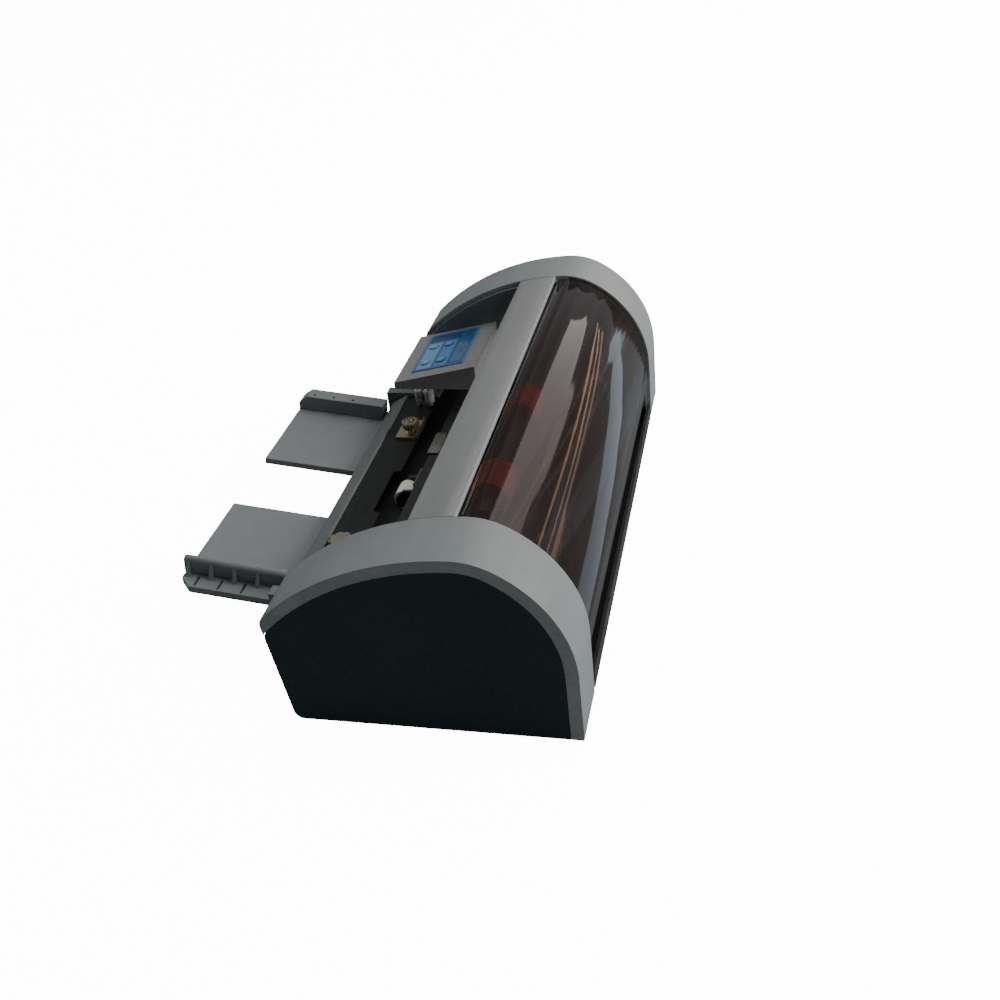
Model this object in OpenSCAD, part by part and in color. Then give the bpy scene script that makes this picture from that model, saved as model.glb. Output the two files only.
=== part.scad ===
// Desk-top business card cutter: sheets are fed in at the front (-Y), slit lengthwise by
// rotary blades, cut across by a knife, and delivered as cards at the back (+Y).
// Millimetres, +Z up, X across the machine, origin at the middle of the footprint on the desk.

/* [Casing] */
// Overall width over both end caps
body_w = 400; // [360:1:440]
// Width of each end cap
cap_w = 40; // [36:1:48]
// Wall of the end cap's moulded skin
cap_skin = 3; // [2:0.5:4]
// Width of the cap's rim that shows beside the side panel
band_w = 7.5; // [5:0.5:12]
// Height of the crest above the desk
top_h = 123.4; // [118:0.2:130]
// From the crest line to the back face
back_reach = 59.5; // [56:0.5:66]
// From the crest line to the foot of the front face
front_reach = 112; // [106:1:122]
// Backward lean of the front face, in degrees
front_lean = 6; // [0:1:10]
// Radius of the long front slope
front_r = 170; // [160:1:190]
// Radius of the back of the cover
back_r = 80; // [76:1:84]
// Radius that blends the front slope into the back
crest_r = 45; // [30:1:55]
// Depth below the crest at which the back turns vertical
back_drop = 75.6; // [70:0.2:80]
// Rounding of the cap's front upper corner
nose_r = 8; // [4:1:12]
// Rounding of the cap's front lower corner
toe_r = 6; // [3:1:9]
// Thickness of the side panels
panel_t = 2.8; // [2:0.2:4]
// Height of the rubber feet that shows under the tray
foot_h = 2; // [1.5:0.5:4]
// Radius of the rubber feet
foot_r = 9; // [6:0.5:12]
// Thickness of the base tray
tray_t = 3; // [2:0.5:4]

/* [Frame] */
// Thickness of the steel side frames
frame_t = 3; // [2:0.5:4]
// Radius of the tie bars between the side frames
tie_r = 4; // [3:0.5:5]
// Thickness of the top crossbar's skin
bar_skin = 3.2; // [2.5:0.1:4]
// Front edge of the crossbar, ahead of the crest line
bar_front = 37; // [32:1:42]
// Rear edge of the crossbar, ahead of the crest line
bar_rear = 11; // [10:0.5:14]
// Width of the bright trim strip behind the crossbar
trim_w = 1.6; // [1:0.2:2]

/* [Cover] */
// Thickness of the smoked cover
hood_t = 2; // [1.5:0.5:3]
// How far the cover lies below the caps' rims
hood_drop = 1; // [0.5:0.1:1.2]
// Height of the cover's lower edge above the desk
hood_edge_h = 36; // [34:1:46]
// Gap between the cover and each end cap
hood_gap = 0.6; // [0.4:0.1:1.5]
// Radius of the cover's hinge tube
hinge_r = 3; // [2.8:0.1:3.2]
// Radius of the cover's hinge pins
hinge_pin_r = 1.6; // [1.2:0.1:1.8]
// Length of each hinge pin
hinge_pin_l = 14; // [10:1:20]

/* [Control panel] */
// Width of the panel housing along X
ctrl_w = 77; // [72:1:84]
// Front edge of the panel housing, ahead of the crest line
ctrl_front = 123; // [121:0.5:126]
// Rear edge of the panel housing, ahead of the crest line
ctrl_rear = 59; // [55:1:64]
// Height of the housing's underside above the desk
ctrl_base_h = 68.6; // [66:0.2:70]
// Height of the housing's front upper edge above the desk
ctrl_front_h = 73.8; // [73:0.2:76]
// Slope of the panel's face, in degrees
ctrl_tilt = 12.2; // [8:0.2:15]
// Wall of the panel housing
ctrl_wall = 2; // [1.6:0.2:2.6]
// Width of the blue key overlay along X
overlay_w = 60; // [54:1:66]
// Length of the blue key overlay up the slope
overlay_l = 42; // [38:1:46]
// Thickness of the key overlay
overlay_t = 0.8; // [0.5:0.1:1.2]
// Radius of a key
key_r = 4; // [3:0.25:4.5]
// Height of a key's cap above the overlay
key_rise = 0.9; // [0.6:0.1:1.5]
// Travel of a key
key_travel = 0.5; // [0.3:0.1:0.8]

/* [Sheet path] */
// Height of the sheet's plane above the desk
sheet_h = 27; // [26.6:0.2:29]
// Free height under the guide plate
sheet_gap = 8; // [6:0.5:10]
// Thickness of the deck plate
deck_t = 2.5; // [2:0.5:3]
// Front edge of the deck, ahead of the crest line
deck_front = 143; // [138:1:148]
// Width of the protruding deck
deck_w = 250; // [230:1:260]
// Thickness of the black guide plate
plate_t = 2; // [1.5:0.5:3]
// Thickness of the dark blocks at the deck's ends
block_t = 9; // [6:1:12]
// Radius of the rail that carries the side guides
rail_r = 4; // [3:0.5:5]

/* [Side guides] */
// Widest sheet between the side guides
sheet_w = 210; // [190:1:216]
// Outer end of the side guides, ahead of the crest line
guide_reach = 217; // [205:1:230]
// Upward slope of the guides, in degrees
guide_tilt = 8; // [4:0.5:12]
// Height of the guide walls above the sheet
guide_wall_h = 12; // [8:0.5:15]
// Thickness of the wing under the sheet
wing_t = 5; // [4:0.5:6]
// Inner edge of each wing from the middle of the machine
wing_in = 30; // [27:1:45]
// Number of slots in each guide
guide_slots = 3; // [2:1:5]
// Spacing of the slots
slot_pitch = 16; // [12:0.5:18]

/* [Rollers and blades] */
// Radius of all long shafts
shaft_r = 4; // [3.5:0.25:5]
// Radial clearance of a shaft in its bush
run_fit = 0.05; // [0.02:0.01:0.08]
// Outer radius of a shaft bush
bush_r = 7; // [6:0.25:7.5]
// Feed shafts, ahead of the crest line
feed_ahead = 30; // [28:0.5:31]
// Radius of the red upper feed rollers
feed_up_r = 14; // [13:0.25:14.5]
// Radius of the lower feed rollers
feed_low_r = 10; // [9:0.25:10.5]
// Width of a feed roller
feed_w = 32; // [24:1:40]
// Spacing of the feed rollers along X
feed_pitch = 108; // [96:1:112]
// X of the middle feed roller
feed_mid_x = 8; // [-20:1:20]
// Slitting shafts, behind the crest line
slit_behind = 2; // [1:0.5:3]
// Radius of the upper slitting discs
slit_up_r = 13.5; // [12.5:0.25:14]
// Radius of the lower slitting discs
slit_low_r = 10.5; // [10:0.25:10.75]
// Overlap of the slitting discs
slit_lap = 1; // [0.5:0.1:1.5]
// Width of a finished card
card_w = 90; // [85:0.5:92]
// Delivery shafts, behind the crest line
exit_behind = 42; // [41:0.5:43]
// Radius of the delivery rollers
exit_r = 8; // [7.25:0.25:8.5]
// Nip gap between each pair of rollers
nip = 0.3; // [0.2:0.05:0.5]

/* [Cross knife] */
// Lower blade's cutting plane, behind the crest line
knife_behind = 20.5; // [20:0.25:21]
// Stroke of the knife
knife_stroke = 6; // [5:0.5:6]
// Gap between the two blades
blade_gap = 0.3; // [0.2:0.05:0.4]
// Thickness of the blades
blade_t = 1.5; // [1:0.25:2]
// Radius of the knife's guide posts
post_r = 3; // [2.5:0.25:3.2]
// Radius of the knife's cams
cam_r = 9; // [8:0.5:10]

/* [Drive] */
// Teeth of the feed and slitting gears
gear_teeth = 24; // [20:1:28]
// Teeth of the delivery gears
exit_teeth = 16; // [14:1:18]
// Width of the gears
gear_w = 6; // [4:0.5:8]
// Radius of the feed and slitting pulleys
pulley_r = 9.9; // [9:0.1:10]
// Width of the drive belt
belt_w = 6; // [4:0.5:8]
// Thickness of the drive belt
belt_t = 1.2; // [0.8:0.1:1.4]
// Side of the square knife motor
knife_motor_s = 42; // [40:0.5:43]
// Side of the square drive motor
motor_s = 36; // [34:0.5:38]
// Length of the drive motor
motor_l = 34; // [30:1:38]

/* [Hidden] */
$fn = 72;
big = 400;
seat = 0.2;

// Colours
c_grey = [0.55, 0.57, 0.56];
c_navy = [0.09, 0.12, 0.15];
c_black = [0.12, 0.12, 0.12];
c_steel = [0.70, 0.71, 0.73];
c_brass = [0.78, 0.69, 0.42];
c_rubber = [0.16, 0.16, 0.17];
c_red = [0.55, 0.12, 0.10];
c_cream = [0.88, 0.86, 0.78];
c_blue = [0.20, 0.40, 0.62];

// Main planes. Y of the crest line puts the footprint's middle at the origin.
cy = (guide_reach - back_reach) / 2;
half_w = body_w / 2;
cap_in = half_w - cap_w;
frame_in = cap_in - frame_t;
floor_z = foot_h;
tray_top = floor_z + tray_t;

// Centres of the three arcs of the side outline, as [y, z].
front_c = [cy - 1, top_h - front_r];
back_c = [cy + back_reach - back_r, top_h - back_drop];
crest_c = circle_meet(front_c, front_r - crest_r, back_c, back_r - crest_r);

// Corner circles: gap to the edges they round, and overlap of the edges as a share of the radius.
corner_gap = 0.01;
corner_lap = 0.1;

// The front face as a line: its foot, its direction and the direction into the body.
foot_p = [cy - front_reach, floor_z];
lean_dir = [-sin(front_lean), cos(front_lean)];
lean_in = [cos(front_lean), sin(front_lean)];

// Upper crossing of two circles.
function circle_meet(a, ra, b, rb) =
    let (d = norm(b - a))
    let (along = (d * d + ra * ra - rb * rb) / (2 * d))
    let (up = sqrt(ra * ra - along * along))
    let (u = (b - a) / d)
    a + along * u + up * [u[1], -u[0]];

// Far crossing of the line p + t * dir with the circle of radius r about c.
function line_circle(p, dir, c, r) =
    let (w = p - c)
    let (b = w * dir)
    p + (-b + sqrt(b * b - w * w + r * r)) * dir;

// Height of the long front slope above a given y.
function slope_z(y, inset = 0) = front_c[1] + sqrt(pow(front_r - inset, 2) - pow(y - front_c[0], 2));

// Hinge of the cover, just behind the crossbar
hinge_at = [cy - bar_rear + 2 * hinge_r, slope_z(cy - bar_rear + 2 * hinge_r, hinge_r + hood_drop + 0.2)];
hood_half = cap_in - hood_gap;
tube_half = frame_in - 0.5;
hinge_fit = 0.05;
hinge_notch = 20;

// Casing details
flange_w = 6;
flange_t = 3;
frame_drop = bar_skin + 0.3;
front_wall_t = 2.5;
rear_wall_h = 14;
bar_web = 13;
bar_low = 65;
tie_at = [[cy - front_reach + 20, tray_top + 9], [cy - bar_front + 9, slope_z(cy - bar_front + 9, 14)]];

// Sheet path
deck_top = sheet_h - 0.8;
deck_y = cy - deck_front;
lip_low = deck_top + 4.6;
plate_z = sheet_h + sheet_gap;
plate_top = plate_z + plate_t;
plate_front = deck_y + 13;
plate_rear = plate_front + 24;
bay_x = [-14, 36];
bay_y = plate_rear - 3.7;
rail_y = deck_y + 15;
rail_z = deck_top - deck_t - 2 - rail_r - 3;
cover_y = cy - front_reach;
wing_wall_t = 2.5;
wing_wall_h = 11;

// Shafts, as [y, z]
feed_up = [cy - feed_ahead, sheet_h + feed_up_r + nip / 2];
feed_low = [cy - feed_ahead, sheet_h - feed_low_r - nip / 2];
slit_up = [cy + slit_behind, sheet_h + slit_up_r - slit_lap / 2];
slit_low = [cy + slit_behind, sheet_h - slit_low_r + slit_lap / 2];
exit_up = [cy + exit_behind, sheet_h + exit_r + nip / 2];
exit_low = [cy + exit_behind, sheet_h - exit_r - nip / 2];

// Cross knife
knife_y = cy + knife_behind;
beam_y = knife_y - blade_gap;
beam_d = 9.8;
beam_low = sheet_h + 9;
beam_h = 14;
bed_top = sheet_h - 0.6;
bed_h = 13;
post_y = knife_y + blade_t + post_r + 0.2;
post_x = cap_in - 20;
cam_gap = 0.95;
cam_throw = knife_stroke / 2;
cam_at = [post_y, beam_low + beam_h + cam_gap + cam_r - cam_throw];
cam_w = 8;
cam_stub = 20;
cam_x = 100;
bores = [feed_up, feed_low, slit_up, slit_low, exit_up, exit_low, cam_at];

// Drive, in the right end cap
bush_out = 1.5;
gear_x = cap_in + bush_out + 0.5;
pulley_x = gear_x + gear_w + 1.5;
shaft_left = -cap_in - bush_out;
collar_r = 6;
collar_t = 2;
exit_pulley_r = pulley_r * exit_r / feed_low_r;
motor_pulley_r = 5.4;
motor_at = [cy - 2, 84];
motor_shaft_r = 2.5;
belt_gap = 0.15;
gear_well = 9;
gear_sink = 1.7;

// Control panel: the face's front edge, and the key layout on the slope
ctrl_x = -frame_in + seat;
ctrl_y = cy - ctrl_front;
ctrl_len = (ctrl_front - ctrl_rear) / cos(ctrl_tilt);
overlay_x = 6;
overlay_v = (ctrl_len - overlay_l) / 2;
key_hole_r = key_r + 0.3;
key_stem_r = 2.4;
key_col = [0.36, 0.80];
key_row = [0.20, 0.50];

// Side guides, in their own frame: y along the slope, z = 0 at the sheet
guide_y = deck_y - 4;
guide_l = (guide_reach + guide_y - cy - wing_t * sin(guide_tilt)) / cos(guide_tilt);
wall_x = sheet_w / 2;
ridge_w = 6;
ledge_w = 13;
far_w = 13;
rail_fit = 0.08;
carrier_w = 16;

// Idler over the deck
pinch_y = cy - 82;
pinch_d = 7;
pinch_z = 42;
pinch_h = 8;
idler_r = 7.5;
idler_w = 15;
idler_x = 10;
idler_at = [pinch_y - 11, deck_top + idler_r + 0.3];
idler_pin_r = 2;

// Screws of the guide plate, as [x, y]
screw_at = [[-66, plate_front + 20], [76, plate_front + 11]];
screw_r = 2.5;
screw_fit = 0.05;
clamp_top = plate_top + 2.4;

// Mains side, in the left end cap
supply_w = 34;
supply_l = 56;
supply_h = 53;
supply_y = cy - 96;
inlet_at = [cy + 22, 21];
switch_at = [cy - 12, 21];
socket_w = 27;
socket_h = 19;
switch_w = 21;
switch_h = 15;
switch_tilt = 12;

// Solid of a [y, z] outline from x0 along +X.
module across(x0, w) {
    translate([x0, 0, 0])
        rotate([90, 0, 90])
            linear_extrude(w)
                children();
}

module rod(x0, x1, at, r) {
    translate([x0, at[0], at[1]])
        rotate([0, 90, 0])
            cylinder(h = x1 - x0, r = r);
}

module block(x0, x1, y0, y1, z0, z1) {
    translate([x0, y0, z0])
        cube([x1 - x0, y1 - y0, z1 - z0]);
}

// Everything behind the front face, with its two rounded corners. The corner circles stay a
// hair inside the straight edges and the arcs, so that no two curves just touch.
module front_mask(arc_in, front_in, bottom) {
    toe = max(toe_r - max(front_in, 0), 1);
    nose = max(nose_r - max(front_in, 0), 1);
    line_p = foot_p + front_in * lean_in;
    toe_c = line_p + lean_dir * (bottom - line_p[1] + toe * (1 - lean_in[1])) / lean_dir[1] + toe * lean_in;
    nose_c = line_circle(line_p + nose * lean_in, lean_dir, front_c, front_r - arc_in - nose);
    nose_turn = atan2(nose_c[1] - front_c[1], nose_c[0] - front_c[0]) + 6;
    nose_out = [cos(nose_turn), sin(nose_turn)];
    polygon([
        [big, bottom],
        [toe_c[0] - corner_lap * toe, bottom],
        toe_c - toe * lean_in - corner_lap * toe * lean_dir,
        nose_c - nose * lean_in + corner_lap * nose * lean_dir,
        nose_c + nose / 2 * nose_out,
        nose_c + big * nose_out,
        [big, big]
    ]);
    translate(toe_c)
        circle(toe - corner_gap);
    translate(nose_c)
        circle(nose - corner_gap);
}

// Side outline of the casing, moved in by arc_in on the arcs and front_in on the front face.
module side_outline(arc_in = 0, front_in = 0, bottom = floor_z) {
    u = (crest_c - front_c) / norm(crest_c - front_c);
    v = (crest_c - back_c) / norm(crest_c - back_c);
    difference() {
        intersection() {
            translate(front_c)
                circle(front_r - arc_in);
            union() {
                translate(back_c)
                    circle(back_r - arc_in);
                translate([back_c[0] - big, back_c[1] - big])
                    square([big, 2 * big]);
                translate([back_c[0] - big, back_c[1] - big])
                    square([big + back_r - arc_in, big]);
            }
            front_mask(arc_in, front_in, bottom);
        }
        polygon([crest_c, crest_c + big * u, crest_c + big * (u + v), crest_c + big * v]);
    }
    translate(crest_c)
        circle(crest_r - arc_in);
}

// Skin of the casing between two depths, from y0 to y1 and above z0.
module skin_strip(depth0, depth1, y0, y1, z0) {
    intersection() {
        difference() {
            side_outline(depth0, depth0);
            side_outline(depth1, depth1, floor_z - 1);
        }
        translate([y0, z0])
            square([y1 - y0, big]);
    }
}

module base_tray() {
    y0 = cover_y + front_wall_t;
    y1 = cy + back_reach - front_wall_t;
    side_x = half_w - panel_t - seat;
    color(c_grey)
        difference() {
            union() {
                block(-side_x, side_x, cover_y + flange_w + 2, cy + back_reach - flange_w - 1,
                    floor_z, tray_top);
                block(-frame_in, frame_in, y0 - 1, y1 + 1, floor_z, tray_top);
                block(-frame_in + seat, frame_in - seat, cover_y, y0, floor_z, deck_top - deck_t);
                block(-frame_in + seat, frame_in - seat, y1, cy + back_reach, floor_z, rear_wall_h);
            }
            block(gear_x - 1, pulley_x + belt_w + 2, feed_low[0] - gear_well, slit_low[0] + gear_well,
                tray_top - gear_sink, tray_top + 1);
            for (x = [-1, 1])
                for (y = [cover_y + 30, cy + back_reach - 28])
                    translate([x * (cap_in + 18), y, floor_z - 1])
                        cylinder(h = tray_t + 2, r = foot_r / 3);
        }
}

module rubber_feet() {
    color(c_rubber)
        for (x = [-1, 1])
            for (y = [cover_y + 30, cy + back_reach - 28])
                translate([x * (cap_in + 18), y, 0]) {
                    cylinder(h = foot_h, r = foot_r);
                    cylinder(h = foot_h + tray_t, r = foot_r / 3 - 0.05);
                }
}

module side_frame() {
    difference() {
        across(frame_in, frame_t)
            side_outline(frame_drop, cap_skin, tray_top);
        for (at = bores)
            rod(frame_in - 1, cap_in + 1, at, bush_r + 0.05);
        rod(frame_in - 1, cap_in + 1, hinge_at, hinge_pin_r);
        rod(frame_in - 1, cap_in + 1, motor_at, motor_shaft_r + 0.6);
    }
}

module left_side_frame() {
    color(c_black)
        mirror([1, 0, 0])
            side_frame();
}

module right_side_frame() {
    color(c_black)
        side_frame();
}

module end_cap() {
    panel_x = half_w - panel_t;
    difference() {
        across(cap_in, cap_w)
            side_outline();
        across(cap_in - 1, flange_t + 1.5)
            side_outline(flange_w, flange_w, floor_z - 1);
        across(cap_in + flange_t, panel_x - cap_in - flange_t + 0.1)
            side_outline(cap_skin, cap_skin, floor_z - 1);
        across(panel_x, panel_t + 1)
            side_outline(band_w, -1, floor_z - 1);
    }
}

module left_end_cap() {
    color(c_grey)
        mirror([1, 0, 0])
            end_cap();
}

module right_end_cap() {
    color(c_grey)
        end_cap();
}

module side_panel() {
    across(half_w - panel_t, panel_t)
        side_outline(band_w + seat, 0);
}

module left_side_panel() {
    color(c_navy)
        difference() {
            mirror([1, 0, 0])
                side_panel();
            block(-half_w - 1, -half_w + panel_t + 1, inlet_at[0] - socket_w / 2, inlet_at[0] + socket_w / 2,
                inlet_at[1] - socket_h / 2, inlet_at[1] + socket_h / 2);
            block(-half_w - 1, -half_w + panel_t + 1,
                switch_at[0] - switch_w / 2, switch_at[0] + switch_w / 2,
                switch_at[1] - switch_h / 2, switch_at[1] + switch_h / 2);
        }
}

module right_side_panel() {
    color(c_navy)
        side_panel();
}

module top_crossbar() {
    end_x = cap_in - 0.3;
    web_x = frame_in - seat;
    front = cy - bar_front;
    rear = cy - bar_rear;
    color(c_grey) {
        across(-end_x, 2 * end_x)
            skin_strip(0, bar_skin, front, rear, bar_low);
        across(-web_x, 2 * web_x)
            skin_strip(bar_skin / 2, bar_web, front, front + bar_skin, bar_low);
    }
}

module crossbar_trim() {
    end_x = cap_in - 0.3;
    color([0.85, 0.87, 0.86])
        across(-end_x, 2 * end_x)
            skin_strip(0, bar_skin, cy - bar_rear, cy - bar_rear + trim_w, bar_low);
}

module tie_bars() {
    color(c_steel)
        for (at = tie_at)
            rod(-frame_in, frame_in, at, tie_r);
}

// The cover: a curved sheet with a hinge tube along its front edge.
module smoked_cover() {
    color([0.30, 0.20, 0.15, 0.6])
        difference() {
            union() {
                across(-hood_half, 2 * hood_half)
                    skin_strip(hood_drop, hood_drop + hood_t, hinge_at[0], cy + big / 2, hood_edge_h);
                rod(-tube_half, tube_half, hinge_at, hinge_r);
            }
            for (x = [-1, 1])
                translate([x * (tube_half + hinge_notch / 2), hinge_at[0], hinge_at[1]])
                    cube([hinge_notch, 4 * hinge_r, hinge_notch], center = true);
            for (x = [-1, 1])
                rod(x * tube_half - hinge_pin_l, x * tube_half + hinge_pin_l, hinge_at,
                    hinge_pin_r + hinge_fit);
        }
}

module cover_hinge_pins() {
    color(c_steel)
        for (x = [-1, 1])
            mirror([x < 0 ? 1 : 0, 0, 0])
                rod(cap_in - hinge_pin_l, cap_in, hinge_at, hinge_pin_r);
}

// Places children on the panel's face: x across, y up the slope, z out of it.
module on_panel() {
    translate([ctrl_x, ctrl_y, ctrl_front_h])
        rotate([ctrl_tilt, 0, 0])
            children();
}

function key_pos(col, row) =
    [overlay_x + key_col[col] * overlay_w, overlay_v + key_row[row] * overlay_l];

module wedge(inset) {
    y1 = cy - ctrl_rear;
    rise = (ctrl_front - ctrl_rear) * tan(ctrl_tilt);
    low = ctrl_base_h - (inset > 0 ? 1 : 0);
    drop = inset / cos(ctrl_tilt);
    polygon([
        [ctrl_y + inset, low],
        [ctrl_y + inset, ctrl_front_h - drop + inset * tan(ctrl_tilt)],
        [y1 - inset, ctrl_front_h + rise - drop - inset * tan(ctrl_tilt)],
        [y1 - inset, low]
    ]);
}

module panel_housing() {
    color(c_grey)
        difference() {
            union() {
                across(ctrl_x, ctrl_w)
                    wedge(0);
                on_panel()
                    for (x = [ctrl_wall + 3, ctrl_w - ctrl_wall - 3])
                        for (y = [18, ctrl_len - 6])
                            translate([x, y, -5])
                                cylinder(h = 4, r = 2);
            }
            difference() {
                across(ctrl_x + ctrl_wall, ctrl_w - 2 * ctrl_wall)
                    wedge(ctrl_wall);
                on_panel()
                    for (x = [ctrl_wall + 3, ctrl_w - ctrl_wall - 3])
                        for (y = [18, ctrl_len - 6])
                            translate([x, y, -5])
                                cylinder(h = 5, r = 2);
            }
            on_panel()
                for (col = [0, 1])
                    for (row = [0, 1])
                        translate([key_pos(col, row)[0], key_pos(col, row)[1], -ctrl_wall - 1])
                            cylinder(h = ctrl_wall + 2, r = key_stem_r + 0.3);
        }
}

module key_overlay() {
    color(c_blue)
        on_panel()
            difference() {
                translate([overlay_x, overlay_v, 0])
                    cube([overlay_w, overlay_l, overlay_t]);
                for (col = [0, 1])
                    for (row = [0, 1])
                        translate([key_pos(col, row)[0], key_pos(col, row)[1], -1])
                            cylinder(h = overlay_t + 2, r = key_hole_r);
                translate([overlay_x + 4, overlay_v + overlay_l * 0.7, -1])
                    cube([overlay_w - 8, overlay_l * 0.25, overlay_t + 2]);
            }
}

module display_window() {
    color([0.55, 0.68, 0.60])
        on_panel()
            translate([overlay_x + 4 + 0.1, overlay_v + overlay_l * 0.7 + 0.1, 0])
                cube([overlay_w - 8.2, overlay_l * 0.25 - 0.2, overlay_t]);
}

module key(col, row) {
    base = key_travel + 0.1;
    color([0.75, 0.82, 0.88])
        on_panel()
            translate([key_pos(col, row)[0], key_pos(col, row)[1], 0]) {
                translate([0, 0, base])
                    cylinder(h = overlay_t + key_rise - base, r = key_r);
                translate([0, 0, -ctrl_wall - 1.2])
                    cylinder(h = ctrl_wall + 1.3 + base, r = key_stem_r);
            }
}

module up_key() key(0, 1);

module down_key() key(0, 0);

module start_key() key(1, 1);

module stop_key() key(1, 0);

// One board under the keys, one on the left side frame.
module circuit_boards() {
    board_t = 1.6;
    key_board_v = 15;
    side_y = cy - 60;
    side_z = 63;
    side_l = 54;
    side_h = 37;
    color([0.10, 0.35, 0.20]) {
        on_panel() {
            translate([ctrl_wall + 0.5, key_board_v, -5 - board_t])
                cube([ctrl_w - 2 * ctrl_wall - 1, ctrl_len - key_board_v - 5.5, board_t]);
            for (col = [0, 1])
                for (row = [0, 1])
                    translate([key_pos(col, row)[0] - 3, key_pos(col, row)[1] - 3, -5.1])
                        cube([6, 6, 1.1]);
        }
        block(-cap_in - 6, -cap_in - 6 + board_t, side_y, side_y + side_l, side_z, side_z + side_h);
        for (y = [side_y + 4, side_y + side_l - 4])
            for (z = [side_z + 3, side_z + side_h - 4])
                rod(-cap_in - 5, -cap_in, [y, z], 2.5);
    }
}

module deck_plate() {
    color(c_black)
        union() {
            block(-deck_w / 2, deck_w / 2, deck_y, cover_y + 3, deck_top - deck_t, deck_top);
            block(-frame_in + seat, frame_in - seat, cover_y + 2, feed_low[0] - feed_low_r - 5,
                deck_top - deck_t, deck_top);
        }
}

// Black plate over the sheet, with a bay in its rear edge and bores for its two screws.
module guide_plate() {
    half = deck_w / 2 - seat;
    color(c_black)
        difference() {
            translate([0, 0, plate_z])
                linear_extrude(plate_t)
                    polygon([
                        [-half, plate_front], [half, plate_front], [half, plate_rear + 2],
                        [bay_x[1] + 1.5, plate_rear + 2], [bay_x[1], bay_y], [bay_x[0], bay_y],
                        [bay_x[0] - 1.5, plate_rear + 2], [-half, plate_rear + 2]
                    ]);
            for (at = screw_at)
                translate([at[0], at[1], plate_z - 1])
                    cylinder(h = plate_t + 2, r = screw_r + screw_fit);
        }
}

module front_lip() {
    half = deck_w / 2 - seat;
    color(c_grey)
        across(-half, 2 * half)
            polygon([
                [deck_y, lip_low], [deck_y, lip_low + 1.4], [plate_front - 1.5, plate_top + 1],
                [plate_front, plate_top + 1], [plate_front, plate_z], [plate_front - 2, plate_z],
                [deck_y + 4, lip_low]
            ]);
}

module deck_end_blocks() {
    color([0.22, 0.23, 0.23])
        for (x = [-1, 1])
            mirror([x < 0 ? 1 : 0, 0, 0])
                difference() {
                    union() {
                        block(deck_w / 2, deck_w / 2 + block_t, deck_y - 5, cover_y - seat,
                            rail_z - 8, plate_top + 3);
                        block(deck_w / 2, frame_in - seat, cover_y - seat - wing_wall_t, cover_y + 2,
                            deck_top - deck_t, plate_top + wing_wall_h);
                    }
                    rod(deck_w / 2 - 1, deck_w / 2 + block_t - 3, [rail_y, rail_z], rail_r + 0.02);
                }
}

module guide_rail() {
    color(c_steel)
        rod(-deck_w / 2 - block_t + 3, deck_w / 2 + block_t - 3, [rail_y, rail_z], rail_r);
}

// Places children in the guides' sloping frame.
module on_slope() {
    translate([0, guide_y, deck_top])
        rotate([-guide_tilt, 0, 0])
            children();
}

// Carrier on the rail and the arm under the deck, for x0 to x0 + w.
module guide_carrier(x0, w) {
    arm_z0 = rail_z - rail_r - 3;
    arm_z1 = deck_top - deck_t - 0.6;
    difference() {
        union() {
            block(x0, x0 + w, rail_y - rail_r - 3, rail_y + rail_r + 3, arm_z0, arm_z1);
            block(x0, x0 + w, guide_y - 9, rail_y, arm_z1 - 9, arm_z1);
        }
        rod(x0 - 1, x0 + w + 1, [rail_y, rail_z], rail_r + rail_fit);
    }
}

// Right guide: low rounded wall, ribbed outer side and a slotted ledge.
module right_sheet_guide() {
    ledge_x = wall_x + ridge_w + ledge_w;
    slot_y = [for (i = [0 : guide_slots - 1]) -guide_l + 10 + i * slot_pitch];
    color(c_grey)
        union() {
            on_slope() {
                difference() {
                    union() {
                        translate([wing_in, -guide_l, -wing_t])
                            cube([wall_x - wing_in, guide_l, wing_t - 0.3]);
                        translate([0, 0, -wing_t])
                            linear_extrude(wing_t)
                                polygon([
                                    [wall_x, 0], [wall_x, -guide_l], [ledge_x - 8, -guide_l],
                                    [ledge_x, -guide_l + 8], [ledge_x, 0]
                                ]);
                    }
                    for (y = slot_y)
                        translate([wall_x + ridge_w + 1.5, y, -wing_t - 1])
                            cube([ledge_w - 3, 1.8, wing_t + 2]);
                }
                translate([wall_x, -guide_l, -0.5])
                    cube([ridge_w, guide_l, guide_wall_h - ridge_w / 2 + 0.5]);
                translate([wall_x + ridge_w / 2, 0, guide_wall_h - ridge_w / 2])
                    rotate([90, 0, 0])
                        cylinder(h = guide_l, r = ridge_w / 2);
                for (y = concat(slot_y, [slot_y[guide_slots - 1] + slot_pitch]))
                    translate([wall_x + ridge_w - 0.1, y - slot_pitch / 2 + 2.2, -0.5])
                        rotate([90, 0, 0])
                            linear_extrude(2.2)
                                polygon([[0, 0], [5, 0], [0, guide_wall_h - 2]]);
            }
            guide_carrier(wall_x, carrier_w);
        }
}

// Left guide: a broad flat-topped wall with a bevelled outer end and small holes.
module left_sheet_guide() {
    slot_y = [for (i = [0 : guide_slots - 1]) -guide_l + 12 + i * slot_pitch];
    color(c_grey)
        union() {
            on_slope() {
                translate([-wall_x, -guide_l, -wing_t])
                    cube([wall_x - wing_in, guide_l, wing_t - 0.3]);
                difference() {
                    across(-wall_x - far_w, far_w)
                        polygon([
                            [0, -wing_t], [0, guide_wall_h], [-guide_l + 7, guide_wall_h],
                            [-guide_l, guide_wall_h - 6], [-guide_l, -wing_t]
                        ]);
                    for (y = slot_y)
                        translate([-wall_x - 4, y, guide_wall_h - 6])
                            cylinder(h = 8, r = 1.3);
                }
            }
            guide_carrier(-wall_x - carrier_w, carrier_w);
        }
}

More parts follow.
